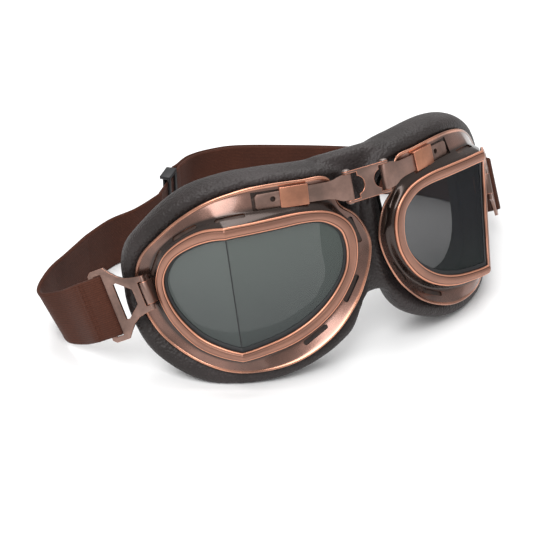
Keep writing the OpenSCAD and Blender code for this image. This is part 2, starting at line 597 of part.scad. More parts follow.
cup_shell("left");  // cup_shell_left
cup_shell("right");  // cup_shell_right
lens_bezel("left");  // lens_bezel_left
lens_bezel("right");  // lens_bezel_right
lens_gasket("left");  // lens_gasket_left
lens_gasket("right");  // lens_gasket_right
lens_front("left");  // lens_front_left
lens_front("right");  // lens_front_right
lens_side("left");  // lens_side_left
lens_side("right");  // lens_side_right
bridge_sleeve("left");  // bridge_sleeve_left
bridge_sleeve("right");  // bridge_sleeve_right
strap_lug("left");  // strap_lug_left
strap_lug("right");  // strap_lug_right
face_cushion("left");  // face_cushion_left
face_cushion("right");  // face_cushion_right
face_lining("left");  // face_lining_left
face_lining("right");  // face_lining_right
bridge_arm("left");  // bridge_arm_left
bridge_arm("right");  // bridge_arm_right
hinge_pin("left");  // hinge_pin_left
hinge_pin("right");  // hinge_pin_right
bridge_link();
nose_leather();
strap_buckle("left");  // strap_buckle_left
strap_buckle("right");  // strap_buckle_right
strap_end("left");  // strap_end_left
strap_end("right");  // strap_end_right
strap_side("left");  // strap_side_left
strap_side("right");  // strap_side_right
strap_back();
strap_slider();
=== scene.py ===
"""Looks of a pair of riding goggles: copper cups, folded panes, padded leather and an elastic strap.

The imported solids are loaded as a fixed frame. Rigid sheet-metal parts are polished copies of their
solids, the cups and bezels are skinned again with finer rings, and the leather and the strap are
modelled as soft pieces in the space their solids hold.
"""
import itertools
import logging
import math
from dataclasses import dataclass, field
from enum import Enum
from typing import Callable, Optional, Sequence

import bpy
from mathutils import Matrix, Vector


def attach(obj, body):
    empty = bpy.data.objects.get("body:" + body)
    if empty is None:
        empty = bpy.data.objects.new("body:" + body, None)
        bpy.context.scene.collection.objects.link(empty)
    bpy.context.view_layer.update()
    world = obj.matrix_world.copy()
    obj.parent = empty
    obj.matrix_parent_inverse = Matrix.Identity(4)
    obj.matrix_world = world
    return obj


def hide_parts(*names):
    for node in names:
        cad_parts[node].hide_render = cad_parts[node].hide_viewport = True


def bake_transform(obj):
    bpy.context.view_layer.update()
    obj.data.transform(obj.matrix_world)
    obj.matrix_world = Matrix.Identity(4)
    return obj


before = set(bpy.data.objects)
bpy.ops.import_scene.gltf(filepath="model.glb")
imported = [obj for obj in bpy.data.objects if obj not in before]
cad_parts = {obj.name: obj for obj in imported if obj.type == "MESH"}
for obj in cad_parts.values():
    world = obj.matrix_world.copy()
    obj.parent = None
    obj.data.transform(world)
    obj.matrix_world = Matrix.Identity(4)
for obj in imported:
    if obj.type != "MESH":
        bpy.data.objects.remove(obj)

LOG = logging.getLogger("goggles")
MM = 0.001
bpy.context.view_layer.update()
Colour = tuple[float, float, float]
Piece = bpy.types.Object
Socket = bpy.types.NodeSocket
Material = bpy.types.Material


class Side(Enum):
    """The wearer's sides; the value is the sign of X."""

    LEFT = 1
    RIGHT = -1

    @property
    def tag(self) -> str:
        """The ending that node and body names carry."""
        return self.name.lower()


# Mesh helpers


def deselect() -> None:
    """Leave nothing selected or active."""
    for obj in bpy.context.selected_objects:
        obj.select_set(False)
    bpy.context.view_layer.objects.active = None


def pick(*objs: Piece) -> None:
    """Select only these objects and make the first one active."""
    deselect()
    for obj in objs:
        obj.select_set(True)
    bpy.context.view_layer.objects.active = objs[0]


def link(name: str, data: bpy.types.ID) -> Piece:
    """A new object in the scene."""
    obj = bpy.data.objects.new(name, data)
    bpy.context.scene.collection.objects.link(obj)
    return obj


def modify(obj: Piece, kind: str, **settings: object) -> None:
    """Add one modifier with these settings and apply it."""
    modifier = obj.modifiers.new(kind.lower(), kind)
    for key, value in settings.items():
        setattr(modifier, key, value)
    pick(obj)
    bpy.ops.object.modifier_apply(modifier=modifier.name)


def mesh_object(name: str, points: Sequence[Vector], faces: Sequence[Sequence[int]]) -> Piece:
    """Make an object from points in metres and faces.

    Args:
        name: Name of the piece.
        points: Vertices in the row frame.
        faces: Vertex indices of each face.

    Returns:
        The linked object, at the origin.
    """
    mesh = bpy.data.meshes.new(name)
    mesh.from_pydata([tuple(p) for p in points], [], [list(f) for f in faces])
    return link(name, mesh)


def outward(obj: Piece) -> None:
    """Merge doubles and point the faces outwards."""
    pick(obj)
    bpy.ops.object.mode_set(mode="EDIT")
    bpy.ops.mesh.select_all(action="SELECT")
    bpy.ops.mesh.remove_doubles(threshold=0.000005)
    bpy.ops.mesh.normals_make_consistent(inside=False)
    bpy.ops.object.mode_set(mode="OBJECT")


def smooth(obj: Piece, degrees: float = 40.0) -> None:
    """Shade smooth, keeping edges sharper than the angle."""
    pick(obj)
    bpy.ops.object.shade_smooth_by_angle(angle=math.radians(degrees))


def node_copy(node: str, name: str) -> Piece:
    """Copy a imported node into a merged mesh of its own, at the origin."""
    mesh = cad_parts[node].data.copy()
    mesh.materials.clear()
    obj = link(name, mesh)
    outward(obj)
    return obj


def add_material(obj: Piece, *materials: Material) -> None:
    """Give the piece these materials and no others."""
    obj.data.materials.clear()
    for material in materials:
        obj.data.materials.append(material)


def dress(obj: Piece, materials: Sequence[Material], body: str = "",
          nodes: Sequence[str] = ()) -> None:
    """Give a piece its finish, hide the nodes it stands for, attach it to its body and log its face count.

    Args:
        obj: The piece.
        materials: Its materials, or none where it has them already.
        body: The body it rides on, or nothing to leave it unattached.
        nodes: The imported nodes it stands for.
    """
    if materials:
        add_material(obj, *materials)
    if nodes:
        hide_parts(*nodes)
    if body:
        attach(obj, body)
    LOG.info("%s: %d faces", obj.name, len(obj.data.polygons))


def tube_faces(n: int, m: int, closed: bool) -> list[tuple]:
    """Quads over m loops of n points; a closed tube joins the last to the first, an open one is capped."""
    faces = [(j * n + i, j * n + (i + 1) % n, (j + 1) % m * n + (i + 1) % n, (j + 1) % m * n + i)
             for j in range(m if closed else m - 1) for i in range(n)]
    return faces if closed else faces + [tuple(range(n)), tuple(range((m - 1) * n, m * n))]


def lay_uv(obj: Piece, n: int, place: Callable[[int, int], tuple]) -> None:
    """A UV map from each vertex's loop and its number in a loop of n."""
    layer = obj.data.uv_layers.new(name="UVMap")
    for face in obj.data.polygons:
        for loop, v in zip(face.loop_indices, face.vertices):
            layer.data[loop].uv = place(*divmod(v, n))


def lengths(points: Sequence) -> list[float]:
    """Length of the path at each of its points."""
    run = [0.0]
    for a, b in zip(points, points[1:]):
        run.append(run[-1] + math.dist(a, b))
    return run


def block(name: str, low: Sequence[float], high: Sequence[float], place: Matrix) -> Piece:
    """A block between two corners of a frame."""
    corners = [place @ Vector((x, y, z)) for x in (low[0], high[0]) for y in (low[1], high[1])
               for z in (low[2], high[2])]
    sides = ((0, 1, 3, 2), (4, 6, 7, 5), (0, 4, 5, 1), (2, 3, 7, 6), (0, 2, 6, 4), (1, 5, 7, 3))
    obj = mesh_object(name, corners, sides)
    outward(obj)
    return obj


def cut_away(obj: Piece, *cutters: Piece) -> None:
    """Take each cutter out of the piece and drop the cutters."""
    for cutter in cutters:
        modify(obj, "BOOLEAN", object=cutter, operation="DIFFERENCE", solver="EXACT")
        bpy.data.objects.remove(cutter)


def rounded_edges(obj: Piece, width: float, segments: int = 2, material: int = -1) -> None:
    """Dissolve flat triangles and round the edges.

    Args:
        obj: The piece.
        width: Width of the rounding in metres.
        segments: Steps across the rounding.
        material: Material index of the rounded strip, or -1 for the neighbours' own.
    """
    pick(obj)
    bpy.ops.object.mode_set(mode="EDIT")
    bpy.ops.mesh.select_all(action="SELECT")
    bpy.ops.mesh.dissolve_limited(angle_limit=math.radians(1.5))
    bpy.ops.object.mode_set(mode="OBJECT")
    modify(obj, "BEVEL", width=width, segments=segments, limit_method="ANGLE",
           angle_limit=math.radians(35), material=material, use_clamp_overlap=True)
    smooth(obj, 35)


# Finishes


class Bench:
    """A material's nodes, laid out one after another."""

    def __init__(self, name: str) -> None:
        """Start a material with its shader and output."""
        self.material = bpy.data.materials.new(name)
        self.material.use_nodes = True
        self.nodes = self.material.node_tree.nodes
        self.links = self.material.node_tree.links
        self.shader = self.nodes["Principled BSDF"]
        self.where = self.nodes.new("ShaderNodeTexCoord")

    def put(self, kind: str, inputs: Optional[dict] = None, **settings: object) -> bpy.types.Node:
        """Add a node.

        Args:
            kind: Blender's node type.
            inputs: Sockets and what goes in: a number or a socket to link.
            **settings: Properties of the node.

        Returns:
            The new node.
        """
        node = self.nodes.new(kind)
        for key, value in settings.items():
            setattr(node, key, value)
        for key, value in (inputs or {}).items():
            self.feed(node.inputs[key], value)
        return node

    def feed(self, socket: Socket, value: object) -> None:
        """Link a socket, or set its value."""
        if isinstance(value, Socket):
            self.links.new(value, socket)
        elif isinstance(value, tuple) and len(value) == 3 and socket.type == "RGBA":
            socket.default_value = (*value, 1.0)
        else:
            socket.default_value = value

    def noise(self, scale: float, detail: float = 3.0, stretch: Optional[tuple] = None,
              roughness: float = 0.5, uv: bool = False) -> Socket:
        """Noise on the object's own coordinates, or on its UV map."""
        place = self.where.outputs["UV" if uv else "Object"]
        if stretch:
            place = self.put("ShaderNodeMapping", {"Vector": place, "Scale": stretch}).outputs["Vector"]
        return self.put("ShaderNodeTexNoise", {"Vector": place, "Scale": scale, "Detail": detail,
                                               "Roughness": roughness}).outputs["Fac"]

    def ramp(self, fac: Socket, *stops: tuple[float, Colour]) -> Socket:
        """Colours over a factor."""
        node = self.put("ShaderNodeValToRGB", {"Fac": fac})
        parts = node.color_ramp.elements
        while len(parts) < len(stops):
            parts.new(0.5)
        for part, (at, colour) in zip(parts, stops):
            part.position = at
            part.color = (*colour, 1.0)
        return node.outputs["Color"]

    def steps(self, fac: Socket, *stops: tuple[float, float]) -> Socket:
        """Grey levels over a factor."""
        return self.ramp(fac, *[(at, (level, level, level)) for at, level in stops])

    def mix(self, fac: object, a: object, b: object, blend: str = "MIX") -> Socket:
        """Mix two colours."""
        node = self.put("ShaderNodeMix", data_type="RGBA", blend_type=blend)
        self.feed(node.inputs[0], fac)
        self.feed(node.inputs[6], a)
        self.feed(node.inputs[7], b)
        return node.outputs[2]

    def maths(self, operation: str, a: object, b: object = 0.0) -> Socket:
        """One sum on two values."""
        node = self.put("ShaderNodeMath", operation=operation)
        self.feed(node.inputs[0], a)
        self.feed(node.inputs[1], b)
        return node.outputs[0]

    def rough(self, fac: Socket, spread: float, least: float) -> Socket:
        """Roughness from its least value up, over a factor."""
        return self.maths("ADD", self.maths("MULTIPLY", fac, spread), least)

    def across(self) -> Socket:
        """The V coordinate of the UV map."""
        return self.put("ShaderNodeSeparateXYZ", {"Vector": self.where.outputs["UV"]}).outputs["Y"]

    def bump(self, height: Socket, distance: float, strength: float = 1.0,
             under: Optional[Socket] = None) -> Socket:
        """A bump of the given depth in metres, over another one if there is one."""
        inputs = {"Height": height, "Distance": distance, "Strength": strength}
        if under is not None:
            inputs["Normal"] = under
        return self.put("ShaderNodeBump", inputs).outputs["Normal"]

    def finish(self, **sockets: object) -> Material:
        """Feed the shader's sockets; an underscore in a name stands for a space."""
        for key, value in sockets.items():
            self.feed(self.shader.inputs[key.replace("_", " ")], value)
        return self.material


@dataclass(frozen=True)
class CopperFinish:
    """Antiqued copper plate, with patina in patches and fine scratches."""

    name: str
    clean: Colour
    patina: Colour
    roughness: float
    share: float = 0.5
    metal: float = 0.9

    def material(self) -> Material:
        """Build the material."""
        bench = Bench(self.name)
        cloud = bench.noise(70, 6, roughness=0.62)
        patch = bench.steps(cloud, (self.share - 0.16, 0.0), (self.share + 0.2, 1.0))
        fine = bench.noise(900, 3)
        colour = bench.mix(patch, self.patina, self.clean)
        colour = bench.mix(bench.steps(fine, (0.35, 0.0), (0.7, 0.22)), colour, self.patina)
        rough = bench.rough(bench.noise(240, 4), 0.24, self.roughness - 0.12)
        bump = bench.bump(bench.noise(1400, 2), 0.00002, 0.5)
        return bench.finish(Base_Color=colour, Metallic=self.metal, Roughness=rough, Normal=bump)


@dataclass(frozen=True)
class BezelFinish:
    """Copper brushed round the ring, with a painted highlight on the two beads and painted shade in the
    grooves beside them and on the back and inner wall of the ring.
    """

    name: str = "bezel_copper"
    bright: Colour = (0.68, 0.31, 0.20)
    brushed: Colour = (0.22, 0.125, 0.098)
    groove_shade: Colour = (0.07, 0.034, 0.025)

    def material(self) -> Material:
        """Build the material."""
        bench = Bench(self.name)
        v = bench.across()
        streak = bench.noise(30, 6, (1.0, 22.0, 1.0), 0.72, uv=True)
        body = bench.mix(bench.steps(streak, (0.38, 0.0), (0.7, 0.8)), self.brushed, self.bright)
        patch = bench.steps(bench.noise(60, 4), (0.36, 0.0), (0.66, 0.5))
        body = bench.mix(patch, body, self.brushed)
        # painted highlight: the two beads are coloured bright as if lit
        edge = bench.steps(v, (0.16, 0.0), (0.22, 1.0), (0.33, 1.0), (0.36, 0.0), (0.70, 0.0), (0.75, 1.0),
                           (0.90, 1.0), (0.97, 0.0))
        # painted shade: dark in the grooves beside the beads and on the back and inner wall of the ring
        dark = bench.steps(v, (0.0, 1.0), (0.12, 0.9), (0.20, 0.0), (0.345, 0.0), (0.37, 0.9), (0.40, 0.9),
                           (0.43, 0.0), (0.64, 0.0), (0.665, 0.8), (0.70, 0.8), (0.73, 0.0), (0.93, 0.0),
                           (1.0, 0.8))
        colour = bench.mix(dark, bench.mix(edge, body, self.bright), self.groove_shade)
        rough = bench.rough(streak, 0.25, 0.24)
        bump = bench.bump(streak, 0.00003, 0.6)
        return bench.finish(Base_Color=colour, Metallic=0.92, Roughness=rough, Normal=bump)


@dataclass(frozen=True)
class CupFinish:
    """Lacquered glossy copper: copper on the flange, with painted shade in the dish and on the inside of
    the shell and a painted highlight on the bead.
    """

    name: str = "cup_copper"
    dish_shade_and_patches: Colour = (0.045, 0.030, 0.025)
    flange: Colour = (0.25, 0.135, 0.105)
    bead: Colour = (0.66, 0.30, 0.19)

    def material(self) -> Material:
        """Build the material."""
        bench = Bench(self.name)
        v = bench.across()
        cloud = bench.noise(24, 5)
        # painted shade in the dish (V up to 0.14) and on the inside of the shell (from V 0.66)
        shade = bench.ramp(v, (0.0, self.dish_shade_and_patches), (0.14, self.dish_shade_and_patches), (0.20, self.flange), (0.33, self.flange),
                           # painted highlight on the rolled bead of the rim (V 0.38 to 0.58)
                           (0.38, self.bead), (0.58, self.bead), (0.66, self.dish_shade_and_patches))
        # darker patches at random, in the same dark colour as the painted shade
        shade = bench.mix(bench.steps(cloud, (0.40, 0.0), (0.60, 0.75)), shade, self.dish_shade_and_patches)
        rough = bench.rough(bench.noise(300, 3), 0.12, 0.2)
        bump = bench.bump(bench.noise(700, 2), 0.00002, 0.35)
        return bench.finish(Base_Color=shade, Metallic=0.85, Roughness=rough, Normal=bump, Coat_Weight=0.4,
                            Coat_Roughness=0.12)


@dataclass(frozen=True)
class LeatherFinish:
    """Dark brown leather with a fine pebbled grain, rubbed lighter in places."""

    name: str = "cushion_leather"
    deep: Colour = (0.0125, 0.0080, 0.0072)
    worn: Colour = (0.034, 0.0255, 0.0255)

    def material(self) -> Material:
        """Build the material."""
        bench = Bench(self.name)
        place = bench.where.outputs["Object"]
        pebbles = bench.put("ShaderNodeTexVoronoi", {"Vector": place, "Scale": 950.0}, feature="SMOOTH_F1")
        grain = pebbles.outputs[0]
        wrinkle = bench.noise(210, 5, roughness=0.62)
        colour = bench.mix(bench.steps(bench.noise(38, 5), (0.38, 0.0), (0.66, 1.0)), self.deep, self.worn)
        colour = bench.mix(bench.steps(grain, (0.1, 0.0), (0.6, 0.45)), colour, self.deep)
        rough = bench.rough(wrinkle, 0.2, 0.42)
        bump = bench.bump(wrinkle, 0.0006, 0.8)
        bump = bench.bump(grain, 0.0004, 0.9, bump)
        return bench.finish(Base_Color=colour, Roughness=rough, Normal=bump, Specular_IOR_Level=0.4)


@dataclass(frozen=True)
class ElasticFinish:
    """Brown woven elastic: ribs along the strap and fine picks across it, on a UV map in millimetres."""

    name: str = "strap_elastic"
    rib: Colour = (0.070, 0.0205, 0.0105)
    gap: Colour = (0.018, 0.007, 0.0045)
    fuzz: Colour = (0.115, 0.038, 0.022)

    def material(self) -> Material:
        """Build the material."""
        bench = Bench(self.name)
        parts = bench.put("ShaderNodeSeparateXYZ", {"Vector": bench.where.outputs["UV"]})
        along, over = parts.outputs["X"], parts.outputs["Y"]
        ribs = bench.maths("SINE", bench.maths("MULTIPLY", over, math.tau / 0.9))
        picks = bench.maths("SINE", bench.maths("MULTIPLY", along, math.tau / 0.62))
        weave = bench.maths("ADD", bench.maths("MULTIPLY", ribs, 0.32),
                            bench.maths("MULTIPLY", picks, 0.18))
        weave = bench.maths("ADD", weave, 0.5)
        colour = bench.mix(bench.steps(weave, (0.08, 0.3), (0.5, 1.0)), self.gap, self.rib)
        colour = bench.mix(bench.steps(bench.noise(1500, 3), (0.5, 0.0), (0.78, 0.55)), colour, self.fuzz)
        colour = bench.mix(bench.steps(bench.noise(45, 4), (0.4, 0.0), (0.7, 0.3)), colour, self.gap)
        bump = bench.bump(weave, 0.00009, 0.7)
        bump = bench.bump(bench.noise(2200, 2), 0.00006, 0.6, bump)
        return bench.finish(Base_Color=colour, Roughness=0.8, Normal=bump, Sheen_Weight=0.05,
                            Sheen_Roughness=0.4, Specular_IOR_Level=0.2)


@dataclass(frozen=True)
class PlainFinish:
    """Rubber, plastic, cloth or steel: one tone with its own small unevenness."""

    name: str
    tone: Colour
    light: Colour
    roughness: float
    scale: float = 600.0
    depth: float = 0.00005
    metal: float = 0.0

    def material(self) -> Material:
        """Build the material."""
        bench = Bench(self.name)
        fine = bench.noise(self.scale, 4, roughness=0.6)
        colour = bench.mix(bench.steps(fine, (0.35, 0.0), (0.75, 1.0)), self.tone, self.light)
        rough = bench.rough(fine, 0.16, self.roughness - 0.08)
        return bench.finish(Base_Color=colour, Metallic=self.metal, Roughness=rough,
                            Normal=bench.bump(fine, self.depth, 0.5))


@dataclass(frozen=True)
class SmokedGlass:
    """Smoked pane with a painted reflection: its colour runs from one tone at its top to another at its
    bottom.
    """

    name: str
    top: Colour
    bottom: Colour
    low: float
    high: float
    shine: float = 0.5
    cover: float = 0.95

    def material(self) -> Material:
        """Build the material."""
        bench = Bench(self.name)
        height = bench.put("ShaderNodeSeparateXYZ", {"Vector": bench.where.outputs["Object"]}).outputs["Z"]
        bounds = {"Value": height, "From Min": self.low, "From Max": self.high}
        level = bench.put("ShaderNodeMapRange", bounds)
        cloud = bench.maths("MULTIPLY", bench.noise(22, 2), 0.25)
        # painted reflection: colour by height, from the bottom colour to the top colour, with a little
        # noise
        colour = bench.ramp(bench.maths("ADD", level.outputs[0], bench.maths("SUBTRACT", cloud, 0.125)),
                            (0.0, self.bottom), (1.0, self.top))
        smear = bench.rough(bench.noise(40, 3), 0.08, 0.04)
        return bench.finish(Base_Color=colour, Roughness=smear, Alpha=self.cover, IOR=1.5,
                            Specular_IOR_Level=self.shine)


# The cup's own curves, in millimetres

BEZEL_POINTS = (
    (0, 30), (-11, 29.5), (-23, 29.2), (-35, 28.7), (-46.5, 26.3), (-54, 21), (-57.4, 14.5), (-58, 7),
    (-56.3, -1.4), (-51.7, -9.8), (-45, -17.4), (-35.5, -23.8), (-24, -28), (-12, -29.5), (0, -29.7),
    (12, -27.6), (22, -22.6), (30.5, -13), (34.8, -2), (35, 7), (30.5, 16.7), (22, 23.8), (11, 28.8))
GLASS_POINTS = (
    (0, 25.1), (-11, 24.7), (-23, 24.2), (-35, 23.9), (-43.5, 22.3), (-50.2, 17.4), (-52.3, 12.2),
    (-52.7, 6), (-51.2, -1), (-47, -7.8), (-40.5, -14.4), (-32, -19.8), (-22, -23.4), (-11, -25.2),
    (0, -25.7), (10.2, -23.2), (19, -18.6), (27, -9.6), (31, 0), (30.8, 8.3), (25.5, 16.2), (17.5, 21),
    (8.6, 24))
RIM_POINTS = (
    (1, 37.5), (-12, 40.5), (-24, 41), (-38, 40.1), (-49.6, 38.5), (-52.8, 27), (-60, 20.2), (-64.6, 10.5),
    (-64.4, 2.2), (-60.7, -8), (-54.5, -18), (-43.5, -28.5), (-29, -35.6), (-15, -38.2), (0, -37.6),
    (11, -33.3), (20, -26.3), (26.8, -17.6), (31, -5), (31.4, 6), (28.3, 15.8), (21.5, 23.6), (12, 31.6))


def catmull(a: Vector, b: Vector, c: Vector, d: Vector, t: float) -> Vector:
    """A point of the spline through b and c."""
    square, cube = 2 * a - 5 * b + 4 * c - d, 3 * b - a - 3 * c + d
    return 0.5 * (2 * b + (c - a) * t + square * t * t + cube * t ** 3)


def closed_spline(points: Sequence[tuple], steps: int) -> list[Vector]:
    """A closed spline through flat points."""
    p = [Vector(q) for q in points]
    m = len(p)
    return [catmull(p[i - 1], p[i], p[(i + 1) % m], p[(i + 2) % m], k / steps)
            for i in range(m) for k in range(steps)]


def on_spline(points: Sequence[Vector], t: float) -> Vector:
    """A point t stations along an open spline."""
    last = len(points) - 1
    i = min(int(t), last - 1)
    return catmull(points[max(i - 1, 0)], points[i], points[i + 1], points[min(i + 2, last)], t - i)


def turned(rx: float, ry: float, rz: float) -> Matrix:
    """Turns about X, then Y, then Z, in degrees."""
    turns = [Matrix.Rotation(math.radians(a), 4, axis) for a, axis in ((rz, "Z"), (ry, "Y"), (rx, "X"))]
    return turns[0] @ turns[1] @ turns[2]


@dataclass
class Stance:
    """Where the goggles' own frames stand over the floor, in millimetres and degrees."""

    pin_height: float = 86.2
    depth_centre: float = 66.9
    lean: float = 22.2
    fold_at: tuple = (67.5, 9.6, -39.5)
    cup_turns: tuple = (8.5, -0.92, 8.6)
    hinge_at: tuple = (29.6, 25.4, 2.0)
    hinge_turns: tuple = (-10.0, 17.7, 37.3)
    pin_at: tuple = (9.6, 0.0, -6.75)
    arm_turn: float = 15.0
    arm_rise: float = 4.9
    knuckle: float = 1.9

    def standing(self) -> Matrix:
        """From the pins' frame to the floor's."""
        return Matrix.Translation((0, -self.depth_centre, self.pin_height)) @ turned(-self.lean, 0, 0)

    def cup(self, side: Side) -> Matrix:
        """From a cup's frame, in millimetres, to the row's frame, in metres."""
        mirror = Matrix.Diagonal((side.value, 1, 1, 1))
        place = self.standing() @ mirror @ Matrix.Translation(self.fold_at) @ turned(*self.cup_turns)
        return Matrix.Scale(MM, 4) @ place

    def arm(self, side: Side) -> Matrix:
        """From a bridge arm's frame, in millimetres, to the row's frame, in metres."""
        mirror = Matrix.Diagonal((side.value, 1, 1, 1))
        place = (self.standing() @ mirror @ Matrix.Translation(self.pin_at) @ turned(0, 0, self.arm_turn)
                 @ Matrix.Translation((0, -self.knuckle, 0)) @ turned(0, -self.arm_rise, 0))
        return Matrix.Scale(MM, 4) @ place

    def hinge(self, side: Side) -> Matrix:
        """From a buckle hinge's frame, in millimetres, to the row's frame, in metres."""
        return self.cup(side) @ Matrix.Translation(self.hinge_at) @ turned(*self.hinge_turns)


@dataclass
class CupCurves:
    """Rings of the cup in its own frame: X out from the fold, Y back and Z up."""

    steps: int = 6
    fold_angle: float = 42.0
    bezel_height: float = 2.0
    foot_share: float = 0.3
    least_wall: float = 3.2
    wall_share: float = 0.6
    rim_base: float = 3.0
    rim_rise: float = 8.6
    rim_slope: float = 0.075
    rim_reach: float = 55.0
    rim_power: float = 2.74
    bezel: list = field(init=False)
    glass: list = field(init=False)
    rim: list = field(init=False)

    def __post_init__(self) -> None:
        """Draw the three outlines."""
        self.bezel = closed_spline(BEZEL_POINTS, self.steps)
        self.glass = closed_spline(GLASS_POINTS, self.steps)
        self.rim = closed_spline(RIM_POINTS, self.steps)

    def grown(self, ring: list[Vector], d: float) -> list[Vector]:
        """The ring moved outwards by d."""
        out = []
        for i, p in enumerate(ring):
            t = (ring[(i + 1) % len(ring)] - ring[i - 1]).normalized()
            out.append(p + d * Vector((t.y, -t.x)))
        return out

    def fold(self, p: Vector, w: float) -> Vector:
        """A flat point folded into the cup's frame, w behind the face of the panes."""
        a = math.radians(self.fold_angle)
        m = w * math.tan(a / 2)
        if p.x <= 0:
            return Vector((min(p.x, -m), w, p.y))
        s = max(p.x, m)
        return Vector((s * math.cos(a) - w * math.sin(a), s * math.sin(a) + w * math.cos(a), p.y))

    def face_depth(self, s: float, h: float) -> float:
        """Depth of the surface on which the rim lies."""
        return self.rim_base + self.rim_slope * h + self.rim_rise * (
            max(0.0, s + self.rim_reach) / self.rim_reach) ** self.rim_power

    def ring(self, share: float, inset: float, behind: float) -> list[Vector]:
        """A loop between the bezel, at 0, and the rim, at 1."""
        inner = [self.fold(p, self.bezel_height) for p in self.grown(self.bezel, -inset)]
        outer = [Vector((p.x, self.face_depth(p.x, p.y), p.y)) for p in self.grown(self.rim, -inset)]
        loop = []
        for a, b in zip(inner, outer):
            full = b.y - a.y
            foot = max(self.least_wall, self.wall_share * full)
            if share <= self.foot_share:
                depth = foot * math.sin(math.pi / 2 * share / self.foot_share)
            else:
                depth = foot + (full - foot) * (share - self.foot_share) / (1 - self.foot_share)
            across = a.lerp(b, share)
            loop.append(Vector((across.x, a.y + depth + behind, across.z)))
        return loop


def skin(name: str, rings: Sequence[Sequence[Vector]], place: Matrix, crease_at: Sequence[int] = (),
         crease: float = 0.0) -> Piece:
    """A closed ring of quads over loops of points, with a UV map: U round the ring, V over the profile.

    Args:
        name: Name of the piece.
        rings: Loops of points, each joined to the next and the last to the first.
        place: Matrix to the row's frame.
        crease_at: Steps round the ring that stay sharp under subdivision.
        crease: How sharp they stay, from 0 to 1.

    Returns:
        The object.
    """
    n, m = len(rings[0]), len(rings)
    obj = mesh_object(name, [place @ p for r in rings for p in r], tube_faces(n, m, True))
    layer = obj.data.uv_layers.new(name="UVMap")
    for k, face in enumerate(obj.data.polygons):
        j, i = divmod(k, n)
        for loop, (u, v) in zip(face.loop_indices, ((i, j), (i + 1, j), (i + 1, j + 1), (i, j + 1))):
            layer.data[loop].uv = (u / n, v / m)
    if crease_at:
        attribute = obj.data.attributes.new("crease_edge", "FLOAT", "EDGE")
        for edge in obj.data.edges:
            a, b = (v % n for v in edge.vertices)
            if a == b and a in crease_at:
                attribute.data[edge.index].value = crease
    outward(obj)
    return obj


def subdivided(obj: Piece, levels: int) -> None:
    """Subdivide and apply."""
    modify(obj, "SUBSURF", levels=levels, render_levels=levels)


# Sub-assemblies


